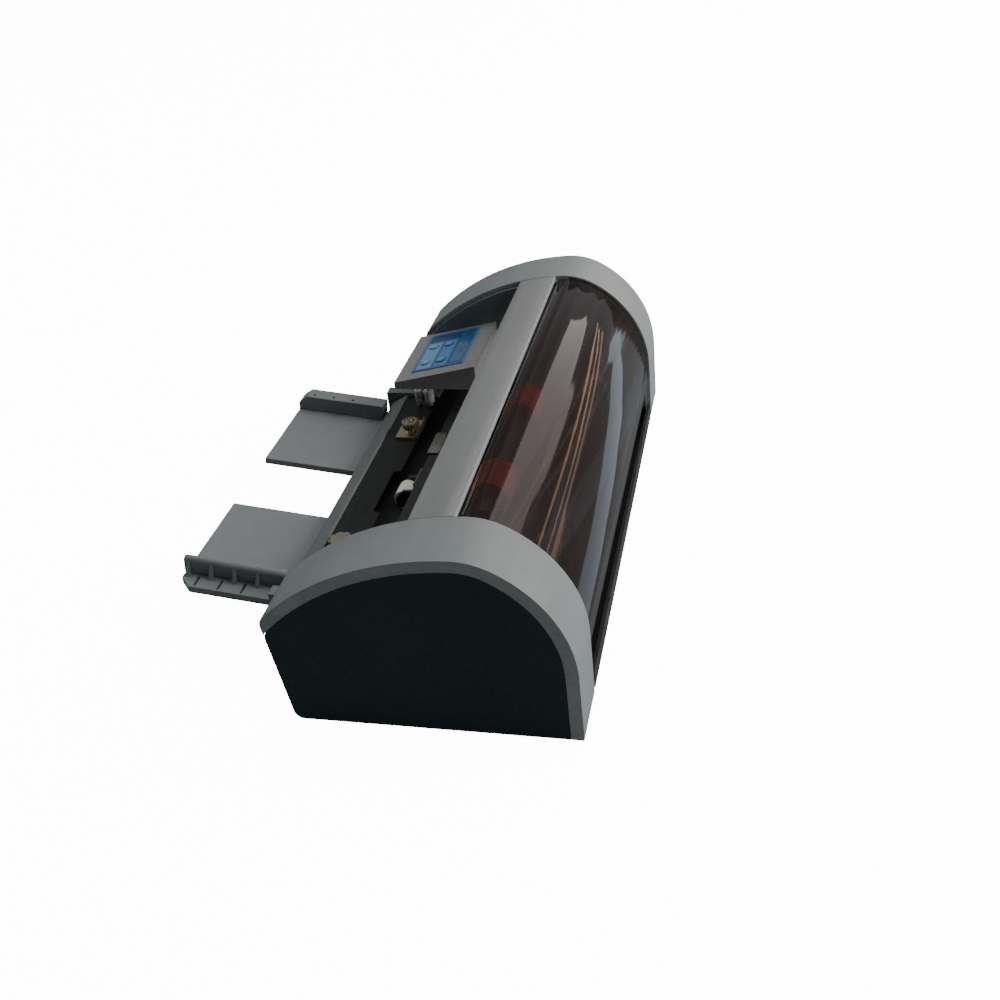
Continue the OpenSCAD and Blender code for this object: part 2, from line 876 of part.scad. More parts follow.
module brass_clamp() {
    clamp_x0 = screw_at[0][0] - 18;
    clamp_x1 = screw_at[0][0] + 8;
    color(c_brass)
        difference() {
            union() {
                block(clamp_x0, clamp_x1, plate_rear - 15, plate_rear + 2, plate_top, clamp_top);
                block(clamp_x0, clamp_x1, plate_rear + 0.6, plate_rear + 2, plate_top, clamp_top + 2.5);
            }
            translate([screw_at[0][0], screw_at[0][1], plate_top - 1])
                cylinder(h = 10, r = screw_r + screw_fit);
        }
}

// Turned head with grip grooves round its rim.
module grip_head(r, h, n, groove) {
    difference() {
        cylinder(h = h, r = r);
        for (i = [0 : n - 1])
            rotate([0, 0, i * 360 / n])
                translate([r + groove * 0.4, 0, -1])
                    cylinder(h = h + 2, r = groove, $fn = 16);
    }
}

module brass_thumbscrew() {
    color(c_brass)
        translate([screw_at[0][0], screw_at[0][1], 0]) {
            translate([0, 0, clamp_top + 4])
                grip_head(6.5, 5.5, 20, 0.8);
            translate([0, 0, clamp_top + 0.1])
                cylinder(h = 4, r = 4.4);
            translate([0, 0, plate_z - 1])
                cylinder(h = clamp_top + 2 - plate_z, r = screw_r);
        }
}

module plate_knob() {
    color([0.62, 0.58, 0.48])
        translate([screw_at[1][0], screw_at[1][1], 0]) {
            translate([0, 0, plate_top + 0.1])
                grip_head(8, 5, 8, 1.6);
            translate([0, 0, plate_z - 1])
                cylinder(h = plate_t + 2, r = screw_r);
        }
}

// Bright screws that hold the plate at its far end, and the casing screws under the tray.
module fasteners() {
    color([0.80, 0.81, 0.83]) {
        for (y = [plate_front + 13, plate_front + 22])
            translate([-deck_w / 2 + 13, y, plate_top]) {
                cylinder(h = 3, r = 2);
                translate([0, 0, 3])
                    cylinder(h = 10, r = y < plate_front + 15 ? 2.5 : 3.8);
            }
        for (x = [-1, 1])
            for (y = [cover_y + 14, cy, cy + back_reach - 12])
                translate([x * (frame_in - 8), y, floor_z - 1.2])
                    cylinder(h = 1.2, r = 3);
    }
}

module pinch_bar() {
    color([0.16, 0.16, 0.16])
        block(-frame_in, frame_in, pinch_y, pinch_y + pinch_d, pinch_z, pinch_z + pinch_h);
}

module stop_clip() {
    t = 1.5;
    top = pinch_z + pinch_h;
    color([0.68, 0.64, 0.55]) {
        block(-46, -18, pinch_y - t, pinch_y + pinch_d, top, top + t);
        block(-46, -18, pinch_y - t, pinch_y, pinch_z - 4, top + 0.1);
    }
}

module idler_bracket() {
    side = idler_w / 2 + 0.4;
    color([0.15, 0.13, 0.12])
        union() {
            for (x = [-1, 1])
                across(idler_x + (x < 0 ? -side - 2.4 : side), 2.4)
                    polygon([
                        [idler_at[0] - 5, idler_at[1] - 4], [idler_at[0] - 5, idler_at[1] + 3],
                        [idler_at[0] + 1, idler_at[1] + idler_r + 2], [pinch_y, idler_at[1] + idler_r + 2],
                        [pinch_y, idler_at[1]], [idler_at[0] + 4, idler_at[1] - 4]
                    ]);
            block(idler_x - side - 2.4, idler_x + side + 2.4, pinch_y - 1.5, pinch_y,
                idler_at[1] + idler_r + 0.6, pinch_z + pinch_h);
            rod(idler_x - side - 1, idler_x + side + 1, idler_at, idler_pin_r);
        }
}

module idler_roller() {
    color(c_cream)
        difference() {
            rod(idler_x - idler_w / 2, idler_x + idler_w / 2, idler_at, idler_r);
            rod(idler_x - idler_w, idler_x + idler_w, idler_at, idler_pin_r + run_fit);
        }
}

// Spur gear outline, first tooth on +X.
module gear_outline(n, r) {
    m = 2 * r / n;
    p = 360 / n;
    polygon([
        for (i = [0 : n - 1])
            for (c = [[-0.30, -1.25], [-0.11, 0.95], [0.11, 0.95], [0.30, -1.25]])
                (r + c[1] * m) * [cos((i + c[0]) * p), sin((i + c[0]) * p)]
    ]);
}

module gear(at, n, r, turn) {
    translate([gear_x, at[0], at[1]])
        rotate([90, 0, 90])
            linear_extrude(gear_w)
                rotate(turn)
                    gear_outline(n, r);
}

// Long shaft with its two collars inside the frames.
module shaft(at, x1) {
    rod(shaft_left, x1, at, shaft_r);
    for (x = [-1, 1])
        mirror([x < 0 ? 1 : 0, 0, 0])
            rod(frame_in - bush_out - collar_t - 0.3, frame_in - bush_out - 0.3, at, collar_r);
}

// Upper shafts end behind their gears; lower shafts carry a belt pulley too.
module upper_shaft(at, n, r) {
    shaft(at, gear_x + gear_w + 0.5);
    gear(at, n, r, 270 + 180 / n);
}

module lower_shaft(at, n, r, belt_r) {
    shaft(at, pulley_x + belt_w + 1);
    gear(at, n, r, 90);
    rod(pulley_x - 0.5, pulley_x + belt_w + 0.5, at, belt_r);
}

module feed_rollers(at, r) {
    for (i = [-1 : 1])
        difference() {
            rod(feed_mid_x + i * feed_pitch - feed_w / 2, feed_mid_x + i * feed_pitch + feed_w / 2, at, r);
            rod(-half_w, half_w, at, shaft_r);
        }
}

module upper_feed_shaft() {
    color(c_steel)
        upper_shaft(feed_up, gear_teeth, (feed_up[1] - feed_low[1]) / 2);
}

module upper_feed_rollers() {
    color(c_red)
        feed_rollers(feed_up, feed_up_r);
}

module lower_feed_shaft() {
    color(c_steel)
        lower_shaft(feed_low, gear_teeth, (feed_up[1] - feed_low[1]) / 2, pulley_r);
}

module lower_feed_rollers() {
    color(c_rubber)
        feed_rollers(feed_low, feed_low_r);
}

// Discs at the card edges; side is +1 for the upper set and -1 for the lower.
module slitter_discs(at, r, side) {
    hub_r = 8;
    hub_w = 8;
    for (i = [-1 : 1])
        difference() {
            union() {
                rod(i * card_w + min(side * 0.15, side * (0.15 + blade_t)),
                    i * card_w + max(side * 0.15, side * (0.15 + blade_t)), at, r);
                rod(i * card_w + min(side * (0.1 + blade_t), side * (blade_t + hub_w)),
                    i * card_w + max(side * (0.1 + blade_t), side * (blade_t + hub_w)), at, hub_r);
            }
            rod(-half_w, half_w, at, shaft_r);
        }
}

module upper_slitter_shaft() {
    color(c_steel)
        upper_shaft(slit_up, gear_teeth, (slit_up[1] - slit_low[1]) / 2);
}

module upper_slitter_discs() {
    color([0.75, 0.76, 0.78])
        slitter_discs(slit_up, slit_up_r, 1);
}

module lower_slitter_shaft() {
    color(c_steel)
        lower_shaft(slit_low, gear_teeth, (slit_up[1] - slit_low[1]) / 2, pulley_r);
}

module lower_slitter_discs() {
    color([0.75, 0.76, 0.78])
        slitter_discs(slit_low, slit_low_r, -1);
}

// Delivery rollers are turned in one with their shafts.
module exit_rolls(at) {
    for (x = [-120, -60, 0, 60, 120])
        rod(x - 14, x + 14, at, exit_r);
}

module upper_exit_shaft() {
    color(c_rubber) {
        upper_shaft(exit_up, exit_teeth, (exit_up[1] - exit_low[1]) / 2);
        exit_rolls(exit_up);
    }
}

module lower_exit_shaft() {
    color(c_rubber) {
        lower_shaft(exit_low, exit_teeth, (exit_up[1] - exit_low[1]) / 2, exit_pulley_r);
        exit_rolls(exit_low);
    }
}

module shaft_bushes() {
    color(c_brass)
        for (x = [-1, 1])
            mirror([x < 0 ? 1 : 0, 0, 0])
                for (at = bores)
                    difference() {
                        rod(frame_in - bush_out, cap_in + bush_out, at, bush_r);
                        rod(frame_in - bush_out - 1, cap_in + bush_out + 1, at, shaft_r + run_fit);
                    }
}

module drive_motor() {
    color([0.20, 0.20, 0.21])
        difference() {
            translate([frame_in - motor_l, motor_at[0] - motor_s / 2, motor_at[1] - motor_s / 2])
                cube([motor_l, motor_s, motor_s]);
            rod(frame_in - motor_l - 1, cap_in, motor_at, motor_shaft_r + run_fit);
        }
}

module motor_pulley() {
    color(c_steel) {
        rod(frame_in - motor_l + 2, pulley_x + belt_w + 1, motor_at, motor_shaft_r);
        rod(pulley_x - 0.5, pulley_x + belt_w + 0.5, motor_at, motor_pulley_r);
    }
}

module belt_loop(grow) {
    hull() {
        translate(motor_at)
            circle(motor_pulley_r + grow, $fn = 32);
        translate(feed_low)
            circle(pulley_r + grow, $fn = 32);
        translate(slit_low)
            circle(pulley_r + grow, $fn = 32);
        translate(exit_low)
            circle(exit_pulley_r + grow, $fn = 32);
    }
}

module drive_belt() {
    color([0.10, 0.10, 0.10])
        across(pulley_x, belt_w)
            difference() {
                belt_loop(belt_gap + belt_t);
                belt_loop(belt_gap);
            }
}

// Steel bed with the two posts that the knife slides on.
module knife_bed() {
    color(c_steel) {
        block(-frame_in, frame_in, knife_y + blade_t, knife_y + blade_t + 8.5, bed_top - bed_h, bed_top);
        for (x = [-1, 1])
            translate([x * post_x, post_y, bed_top - 1])
                cylinder(h = cam_at[1] - shaft_r - 0.6 - bed_top + 1, r = post_r);
    }
}

module lower_blade() {
    color([0.78, 0.79, 0.82])
        block(-frame_in + 6, frame_in - 6, knife_y, knife_y + blade_t, bed_top - 9, bed_top);
}

module knife_beam() {
    color([0.45, 0.47, 0.50])
        difference() {
            block(-frame_in + 4, frame_in - 4, beam_y, beam_y + beam_d, beam_low, beam_low + beam_h);
            for (x = [-1, 1])
                translate([x * post_x, post_y, beam_low - 1])
                    cylinder(h = beam_h + 2, r = post_r + run_fit);
        }
}

module upper_blade() {
    color([0.78, 0.79, 0.82])
        block(-frame_in + 6, frame_in - 6, beam_y - blade_t, beam_y, sheet_h + 3.5, beam_low + beam_h - 4);
}

module knife_springs() {
    color(c_steel)
        for (x = [-1, 1])
            translate([x * post_x, post_y, bed_top])
                difference() {
                    cylinder(h = beam_low - bed_top, r = post_r + 1.5);
                    translate([0, 0, -1])
                        cylinder(h = beam_low, r = post_r + 0.5);
                }
}

module knife_camshaft() {
    color(c_steel) {
        rod(-half_w + cam_stub, cap_in + bush_out, cam_at, shaft_r);
        for (x = [-1, 1])
            rod(x * cam_x - cam_w / 2, x * cam_x + cam_w / 2, [cam_at[0], cam_at[1] + cam_throw], cam_r);
    }
}

module knife_motor() {
    half = knife_motor_s / 2;
    foot = knife_motor_s * 0.38;
    x0 = -half_w + 6;
    color([0.20, 0.20, 0.21])
        difference() {
            union() {
                block(x0, -cap_in - 2, cam_at[0] - half, cam_at[0] + half,
                    cam_at[1] - half, cam_at[1] + half);
                for (d = [[-foot, foot], [foot, foot], [0, -foot]])
                    rod(-cap_in - 3, -cap_in, cam_at + d, knife_motor_s / 14);
            }
            rod(x0 + 4, -cap_in, cam_at, shaft_r + run_fit);
        }
}

module power_supply() {
    color([0.60, 0.61, 0.62])
        block(-cap_in - supply_w, -cap_in, supply_y, supply_y + supply_l, tray_top + 3, tray_top + supply_h);
}

module inlet_and_switch_frame() {
    x0 = -half_w;
    depth = 20;
    color([0.08, 0.08, 0.09]) {
        difference() {
            block(x0, x0 + depth, inlet_at[0] - socket_w / 2 + seat, inlet_at[0] + socket_w / 2 - seat,
                inlet_at[1] - socket_h / 2 + seat, inlet_at[1] + socket_h / 2 - seat);
            block(x0 - 1, x0 + depth - 3, inlet_at[0] - 11, inlet_at[0] + 11,
                inlet_at[1] - 7, inlet_at[1] + 7);
        }
        for (d = [[-6, -2], [6, -2], [0, 2]])
            block(x0 + 5, x0 + depth - 2, inlet_at[0] + d[0] - 1, inlet_at[0] + d[0] + 1,
                inlet_at[1] + d[1] - 2.5, inlet_at[1] + d[1] + 2.5);
        difference() {
            block(x0, x0 + 14, switch_at[0] - switch_w / 2 + seat, switch_at[0] + switch_w / 2 - seat,
                switch_at[1] - switch_h / 2 + seat, switch_at[1] + switch_h / 2 - seat);
            block(x0 - 1, x0 + 12, switch_at[0] - switch_w / 2 + 2, switch_at[0] + switch_w / 2 - 2,
                switch_at[1] - switch_h / 2 + 1.5, switch_at[1] + switch_h / 2 - 1.5);
            rod_y(x0 + 5, switch_at[1], switch_at[0] - switch_w / 2 + 0.8,
                switch_at[0] + switch_w / 2 - 0.8, 1.25);
        }
    }
}

module rod_y(x, z, y0, y1, r) {
    translate([x, y1, z])
        rotate([90, 0, 0])
            cylinder(h = y1 - y0, r = r);
}

// Rocker, shown with its upper half pressed in.
module power_switch() {
    x0 = -half_w + 5;
    half_y = switch_w / 2 - 2.4;
    color([0.55, 0.08, 0.07])
        translate([x0, 0, switch_at[1]])
            rotate([0, switch_tilt, 0]) {
                translate([0, switch_at[0] + half_y, 0])
                    rotate([90, 0, 0])
                        linear_extrude(2 * half_y)
                            polygon([[-4, 5], [-3, 0], [-4, -5], [1, -4.6], [2, 0], [1, 4.6]]);
                rod_y(0, 0, switch_at[0] - switch_w / 2 + 1, switch_at[0] + switch_w / 2 - 1, 1.2);
            }
}

base_tray();
rubber_feet();
left_side_frame();
right_side_frame();
left_end_cap();
right_end_cap();
left_side_panel();
right_side_panel();
top_crossbar();
crossbar_trim();
tie_bars();
smoked_cover();
cover_hinge_pins();
panel_housing();
key_overlay();
display_window();
up_key();
down_key();
start_key();
stop_key();
circuit_boards();
deck_plate();
guide_plate();
front_lip();
deck_end_blocks();
guide_rail();
left_sheet_guide();
right_sheet_guide();
brass_clamp();
brass_thumbscrew();
plate_knob();
fasteners();
pinch_bar();
stop_clip();
idler_bracket();
idler_roller();
upper_feed_shaft();
upper_feed_rollers();
lower_feed_shaft();
lower_feed_rollers();
upper_slitter_shaft();
upper_slitter_discs();
lower_slitter_shaft();
lower_slitter_discs();
upper_exit_shaft();
lower_exit_shaft();
shaft_bushes();
drive_motor();
motor_pulley();
drive_belt();
knife_bed();
lower_blade();
knife_beam();
upper_blade();
knife_springs();
knife_camshaft();
knife_motor();
power_supply();
inlet_and_switch_frame();
power_switch();
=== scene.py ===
"""Looks of the desk-top business card cutter around its CAD frame. Metres, row frame."""

import math

import bmesh
import bpy
from mathutils import Matrix, Vector


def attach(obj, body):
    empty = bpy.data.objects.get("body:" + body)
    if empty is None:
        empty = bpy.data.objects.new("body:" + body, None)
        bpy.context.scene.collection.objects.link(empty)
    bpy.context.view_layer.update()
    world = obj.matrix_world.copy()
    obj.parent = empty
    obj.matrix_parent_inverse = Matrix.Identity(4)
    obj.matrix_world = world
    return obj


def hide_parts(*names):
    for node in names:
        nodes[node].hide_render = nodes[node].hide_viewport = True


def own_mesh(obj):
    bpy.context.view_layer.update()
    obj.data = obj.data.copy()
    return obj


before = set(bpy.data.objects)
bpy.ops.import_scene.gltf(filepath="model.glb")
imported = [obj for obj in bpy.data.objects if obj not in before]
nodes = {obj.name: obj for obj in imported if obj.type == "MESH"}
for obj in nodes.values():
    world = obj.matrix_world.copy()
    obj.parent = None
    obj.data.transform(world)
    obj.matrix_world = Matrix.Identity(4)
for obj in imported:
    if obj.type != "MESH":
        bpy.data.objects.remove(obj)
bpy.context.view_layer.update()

MM = 0.001
RAD = math.radians
MIX_FACTOR, MIX_A, MIX_B, MIX_OUT = 0, 6, 7, 2  # a mix node's sockets when it mixes colours

# The key panel's face: its front far corner, its slope, and the print on it.
PANEL_AT, PANEL_TILT = (-156.8, -44.25, 73.8), 12.2
PRINT_TOP, KEY_TOP = 0.8, 1.7
OVERLAY_AT, OVERLAY_SIZE = (6.0, 11.74), (60.0, 42.0)
KEY_COL, KEY_ROW = (0.36, 0.80), (0.20, 0.50)


# ---------------------------------------------------------------- materials
def socket(node, names, value):
    """Sets the first of the named input sockets that this node has."""
    for name in names:
        if name in node.inputs:
            node.inputs[name].default_value = value
            return


def surface(name, color, rough=0.5, metal=0.0, grain=900.0, bump=0.08, vary=0.06,
            rough_vary=0.08, wear=0.0, wear_color=(0.7, 0.7, 0.7), coat=0.0, alpha=1.0,
            blotch=14.0, stretch=(1, 1, 1), specular=0.5, bump_distance=0.0004,
            speckle=0.0, brushed=None, bump_detail=3.0):
    """A procedural finish: colour blotches, fine grain, uneven roughness and worn edges."""
    mat = bpy.data.materials.new(name)
    mat.use_nodes = True
    nt = mat.node_tree
    nt.nodes.clear()
    new = nt.nodes.new
    link = nt.links.new
    out = new("ShaderNodeOutputMaterial")
    bsdf = new("ShaderNodeBsdfPrincipled")
    link(bsdf.outputs[0], out.inputs[0])
    coords = new("ShaderNodeTexCoord")
    mapping = new("ShaderNodeMapping")
    mapping.inputs["Scale"].default_value = stretch
    link(coords.outputs["Object"], mapping.inputs["Vector"])

    def noise(scale, detail, roughness=0.6):
        n = new("ShaderNodeTexNoise")
        n.inputs["Scale"].default_value = scale
        n.inputs["Detail"].default_value = detail
        n.inputs["Roughness"].default_value = roughness
        link(mapping.outputs[0], n.inputs["Vector"])
        return n.outputs["Fac"]

    def ranged(value, low, high, from_low=0.3, from_high=0.7):
        m = new("ShaderNodeMapRange")
        m.inputs["From Min"].default_value = from_low
        m.inputs["From Max"].default_value = from_high
        m.inputs["To Min"].default_value = low
        m.inputs["To Max"].default_value = high
        link(value, m.inputs["Value"])
        return m.outputs[0]

    def mixed(factor, a, b):
        m = new("ShaderNodeMix")
        m.data_type = "RGBA"
        for value, index in ((a, MIX_A), (b, MIX_B)):
            if isinstance(value, tuple):
                m.inputs[index].default_value = (*value[:3], 1)
            else:
                link(value, m.inputs[index])
        link(factor, m.inputs[MIX_FACTOR])
        return m.outputs[MIX_OUT]

    dark = tuple(c * (1 - vary) for c in color[:3])
    light = tuple(min(1.0, c * (1 + vary)) for c in color[:3])
    shade = mixed(ranged(noise(blotch, 5.0), 0.0, 1.0), dark, light)
    if speckle:
        fleck = ranged(noise(grain * 0.6, 2.0), 0.0, speckle, 0.62, 0.72)
        shade = mixed(fleck, shade, tuple(min(1.0, c * 1.7 + 0.03) for c in color[:3]))
    roughness = ranged(noise(blotch * 2.3, 6.0), rough - rough_vary, rough + rough_vary)
    if wear:
        geo = new("ShaderNodeNewGeometry")
        edge = ranged(geo.outputs["Pointiness"], 0.0, wear, 0.52, 0.60)
        broken = new("ShaderNodeMath")
        broken.operation = "MULTIPLY"
        link(edge, broken.inputs[0])
        link(ranged(noise(blotch * 9, 6.0), 0.2, 1.0), broken.inputs[1])
        shade = mixed(broken.outputs[0], shade, wear_color)
    link(shade, bsdf.inputs["Base Color"])
    link(roughness, bsdf.inputs["Roughness"])
    b = new("ShaderNodeBump")
    b.inputs["Strength"].default_value = bump
    b.inputs["Distance"].default_value = bump_distance
    if brushed:
        lines = new("ShaderNodeTexNoise")
        lines.inputs["Scale"].default_value = 1.0
        lines.inputs["Detail"].default_value = 3.0
        turned = new("ShaderNodeMapping")
        turned.inputs["Scale"].default_value = brushed
        link(coords.outputs["Object"], turned.inputs["Vector"])
        link(turned.outputs[0], lines.inputs["Vector"])
        link(lines.outputs["Fac"], b.inputs["Height"])
    else:
        link(noise(grain, bump_detail, 0.7), b.inputs["Height"])
    link(b.outputs[0], bsdf.inputs["Normal"])
    bsdf.inputs["Metallic"].default_value = metal
    socket(bsdf, ["Specular IOR Level", "Specular"], specular)
    socket(bsdf, ["Coat Weight", "Clearcoat"], coat)
    socket(bsdf, ["Coat Roughness"], 0.12)
    bsdf.inputs["Alpha"].default_value = alpha
    mat.diffuse_color = (*color[:3], alpha)
    if alpha < 1:
        mat.surface_render_method = "BLENDED"
    return mat


def printed(mat, areas):
    """Prints rectangles of the panel's face, in mm, over a finish's own colour."""
    nt = mat.node_tree
    new, link = nt.nodes.new, nt.links.new
    bsdf = nt.nodes["Principled BSDF"]
    face = new("ShaderNodeMapping")
    face.vector_type = "TEXTURE"
    face.inputs["Location"].default_value = Vector(PANEL_AT) * MM
    face.inputs["Rotation"].default_value = (RAD(PANEL_TILT), 0, 0)
    face.inputs["Scale"].default_value = (MM, MM, MM)
    link(new("ShaderNodeTexCoord").outputs["Object"], face.inputs["Vector"])
    split = new("ShaderNodeSeparateXYZ")
    link(face.outputs[0], split.inputs[0])

    def inside(axis, low, high):
        m = new("ShaderNodeMath")
        m.operation = "COMPARE"
        link(split.outputs[axis], m.inputs[0])
        m.inputs[1].default_value = (low + high) / 2
        m.inputs[2].default_value = (high - low) / 2
        return m.outputs[0]

    shade = bsdf.inputs["Base Color"].links[0].from_socket
    for (x, y, w, h), ink in areas:
        both = new("ShaderNodeMath")
        both.operation = "MULTIPLY"
        link(inside(0, x, x + w), both.inputs[0])
        link(inside(1, y, y + h), both.inputs[1])
        over = new("ShaderNodeMix")
        over.data_type = "RGBA"
        link(both.outputs[0], over.inputs[MIX_FACTOR])
        link(shade, over.inputs[MIX_A])
        over.inputs[MIX_B].default_value = (*ink, 1)
        shade = over.outputs[MIX_OUT]
    link(shade, bsdf.inputs["Base Color"])
    return mat


def bordered(x, y, w, h, ink, line, wide=0.5):
    """A printed block with a thin line round it."""
    inner = (x + wide, y + wide, w - 2 * wide, h - 2 * wide)
    return [((x, y, w, h), line), (inner, ink)]


GREY = surface("grey_moulding", (0.200, 0.217, 0.216), 0.50, grain=1500, bump=0.16, vary=0.05,
               blotch=9, wear=0.25, wear_color=(0.34, 0.35, 0.345), speckle=0.10)
GREY_PLAIN = surface("grey_bar_moulding", (0.212, 0.214, 0.210), 0.50, grain=1500, bump=0.16,
                     vary=0.05, blotch=9, wear=0.25, wear_color=(0.34, 0.345, 0.34), speckle=0.10)
GREY_DARK = surface("grey_guide_moulding", (0.180, 0.194, 0.196), 0.52, grain=1300, bump=0.18,
                    vary=0.07, blotch=16, wear=0.35, wear_color=(0.27, 0.28, 0.28), speckle=0.10)
NAVY = surface("navy_panel", (0.019, 0.031, 0.037), 0.50, grain=1100, bump=0.22, vary=0.14,
               blotch=8, specular=0.25)
BLACK = surface("black_powder_coat", (0.008, 0.0085, 0.008), 0.48, grain=1900, bump=0.30,
                vary=0.18, blotch=20, wear=0.30, wear_color=(0.08, 0.08, 0.08), specular=0.3)
# Dark green-grey: partly the frame plates' own paint, partly painted shade of the shaded inner
# walls inside the end caps.
FRAME = surface("dark_green_frame", (0.13, 0.165, 0.155), 0.48, grain=1700, bump=0.25,
                vary=0.12, blotch=18, wear=0.25, wear_color=(0.15, 0.16, 0.16))
TRIM = surface("bright_trim", (0.34, 0.355, 0.35), 0.34, grain=1200, bump=0.05, vary=0.04)
STEEL = surface("ground_steel", (0.58, 0.59, 0.60), 0.36, 0.88, vary=0.10, blotch=30,
                rough_vary=0.08, bump=0.06, bump_distance=0.00005, brushed=(1500, 8, 8))
BLADE = surface("blade_steel", (0.62, 0.63, 0.65), 0.20, 1.0, vary=0.08, blotch=40,
                rough_vary=0.07, bump=0.15, bump_distance=0.00004, brushed=(1500, 60, 1500))
BED = surface("blued_steel", (0.16, 0.17, 0.19), 0.36, 1.0, vary=0.15, blotch=25,
              bump=0.15, bump_distance=0.00005, brushed=(8, 900, 900))
BRASS = surface("turned_brass", (0.56, 0.48, 0.30), 0.28, 0.92, vary=0.16, blotch=60,
                rough_vary=0.12, bump=0.10, wear=0.5, wear_color=(0.78, 0.72, 0.52))
RUBBER = surface("black_rubber", (0.018, 0.018, 0.019), 0.68, grain=1400, bump=0.35, vary=0.2,
                 specular=0.35)
RED = surface("red_polyurethane", (0.62, 0.045, 0.028), 0.42, grain=900, bump=0.15, vary=0.14,
              blotch=35, coat=0.1)
CREAM = surface("cream_moulding", (0.80, 0.77, 0.64), 0.38, grain=900, bump=0.06, vary=0.05,
                blotch=80)
BEIGE = surface("beige_moulding", (0.15, 0.14, 0.105), 0.48, grain=1000, bump=0.15, vary=0.12,
                blotch=60, wear=0.4, wear_color=(0.30, 0.28, 0.22))
SMOKE = surface("smoked_sheet", (0.013, 0.006, 0.004), 0.045, grain=55, bump=0.16, vary=0.15,
                blotch=10, rough_vary=0.015, alpha=0.71, specular=0.6, bump_detail=0.6,
                bump_distance=0.0010, stretch=(0.12, 1.6, 1.6))
INK_PALE, INK_MID, INK_DEEP = (0.13, 0.30, 0.46), (0.07, 0.20, 0.40), (0.010, 0.050, 0.17)
OX, OY = OVERLAY_AT
OW, OL = OVERLAY_SIZE
OVERLAY_PRINT = (
    bordered(OX + 0.8, OY + 0.8, OW - 1.6, OL - 1.6, (0.035, 0.125, 0.30), INK_MID)
    + [((OX + 1.6, OY + 28.4, OW - 3.2, 12.2), INK_DEEP),
       ((OX + 1.6, OY + 1.6, 12.0, OL - 3.2), INK_DEEP)]
    + bordered(OX + 15.0, OY + 2.0, 43.4, 13.4, INK_PALE, INK_DEEP)
    + bordered(OX + 15.0, OY + 16.4, 43.4, 11.2, INK_MID, INK_DEEP))
BLUE = printed(surface("printed_overlay", (0.045, 0.155, 0.36), 0.34, grain=1600, bump=0.10,
                       vary=0.10, blotch=26, coat=0.15), OVERLAY_PRINT)
WHITE_INK = surface("white_ink", (0.20, 0.38, 0.54), 0.36, grain=1600, bump=0.05)
DARK_INK = surface("dark_ink", (0.008, 0.02, 0.05), 0.34, grain=1600, bump=0.05)
LCD = surface("display_window", (0.03, 0.12, 0.24), 0.10, grain=700, bump=0.03, vary=0.05,
              coat=0.6)
BOARD = surface("board_lacquer", (0.008, 0.075, 0.035), 0.25, grain=700, bump=0.10, vary=0.15,
                coat=0.5)
CHIP = surface("component_black", (0.012, 0.012, 0.013), 0.42, grain=1500, bump=0.1)
CAN = surface("component_can", (0.55, 0.56, 0.57), 0.28, 1.0, vary=0.05)
DARK = surface("dark_moulding", (0.030, 0.032, 0.033), 0.48, grain=1200, bump=0.20, vary=0.14,
               blotch=20, wear=0.3, wear_color=(0.12, 0.125, 0.125))
END_BLOCK = surface("grey_green_block", (0.125, 0.148, 0.140), 0.46, grain=1200, bump=0.18,
                    vary=0.12, blotch=22, wear=0.35, wear_color=(0.24, 0.27, 0.26))
LIP = surface("lip_moulding", (0.105, 0.112, 0.108), 0.44, grain=1300, bump=0.16, vary=0.10,
              blotch=22, wear=0.3, wear_color=(0.24, 0.25, 0.245))
ROCKER = surface("red_rocker", (0.30, 0.014, 0.010), 0.26, grain=900, bump=0.05, coat=0.3)
WHITE = surface("white_print", (0.80, 0.80, 0.78), 0.40, grain=900, bump=0.03)
# Near-white and half diffuse: the nickel plating's own shine plus a painted highlight that keeps
# plated parts bright where they lie in shade, such as the screw heads under the panel housing.
NICKEL_AND_PAINTED_HIGHLIGHT = surface("nickel_plate_and_painted_highlight", (0.84, 0.84, 0.82), 0.30, 0.6, vary=0.03, blotch=50,
                 rough_vary=0.04, bump=0.0)
STAIN = surface("plated_clip", (0.36, 0.33, 0.26), 0.38, 1.0, vary=0.2, blotch=70,
                rough_vary=0.12, wear=0.5, wear_color=(0.72, 0.70, 0.63))
ZINC = surface("zinc_case", (0.42, 0.43, 0.44), 0.40, 1.0, vary=0.14, blotch=50, bump=0.1)
MOTOR = surface("motor_enamel", (0.02, 0.021, 0.024), 0.36, grain=1300, bump=0.12, vary=0.15)

PAINT = {
    GREY: "left_end_cap right_end_cap",
    GREY_PLAIN: "top_crossbar panel_housing",
    GREY_DARK: "left_sheet_guide right_sheet_guide",
    NAVY: "left_side_panel right_side_panel",
    FRAME: "left_side_frame right_side_frame",
    BLACK: "deck_plate guide_plate pinch_bar base_tray",
    LIP: "front_lip",
    END_BLOCK: "deck_end_blocks",
    TRIM: "crossbar_trim",
    SMOKE: "smoked_cover",
    STEEL: "tie_bars cover_hinge_pins guide_rail upper_feed_shaft lower_feed_shaft "
           "upper_slitter_shaft lower_slitter_shaft motor_pulley knife_camshaft",
    BLADE: "upper_slitter_discs lower_slitter_discs lower_blade upper_blade",
    BED: "knife_bed knife_beam",
    BRASS: "brass_clamp brass_thumbscrew shaft_bushes",
    RUBBER: "rubber_feet lower_feed_rollers upper_exit_shaft lower_exit_shaft drive_belt",
    RED: "upper_feed_rollers",
    CREAM: "idler_roller",
    BEIGE: "plate_knob",
    BLUE: "key_overlay up_key down_key start_key stop_key",
    LCD: "display_window",
    BOARD: "circuit_boards",
    DARK: "idler_bracket inlet_and_switch_frame",
    STAIN: "stop_clip",
    NICKEL_AND_PAINTED_HIGHLIGHT: "fasteners knife_springs",
    ZINC: "power_supply",
    MOTOR: "drive_motor knife_motor",
    ROCKER: "power_switch",
}
for mat, names in PAINT.items():
    for name in names.split():
        if not nodes[name].material_slots:
            nodes[name].data.materials.append(mat)
        for s in nodes[name].material_slots:
            s.material = mat


